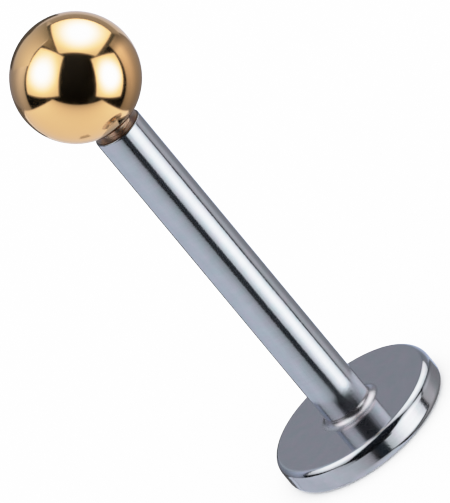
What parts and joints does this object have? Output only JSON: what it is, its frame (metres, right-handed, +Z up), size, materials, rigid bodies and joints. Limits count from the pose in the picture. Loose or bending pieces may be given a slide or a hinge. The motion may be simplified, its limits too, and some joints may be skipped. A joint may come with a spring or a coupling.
{
  "type": "labret stud",
  "caption": "Straight body-piercing stud: a round steel post with a flat bevelled disc on one end and a gold-coloured ball that screws onto the other.",
  "frame": {"origin": "middle of the disc's flat underside, which the stud stands on", "axes": "+Z up the post from the disc to the ball; the stud is round about Z, so +X and +Y are any two directions across it"},
  "size_m": [0.0058, 0.0056, 0.0171],
  "materials": {
    "surgical_steel": "polished post with a finely turned, satin disc face",
    "gold_plating": "mirror-polished gold-coloured plating on steel"
  },
  "bodies": {
    "post": {"labret_post": "surgical_steel"},
    "ball": {"ball": "gold_plating"}
  },
  "joints": [
    {"name": "ball_unscrew", "type": "slide", "parent": "post", "child": "ball", "axis": [0, 0, 1], "range_m": [0, 0.006]}
  ]
}
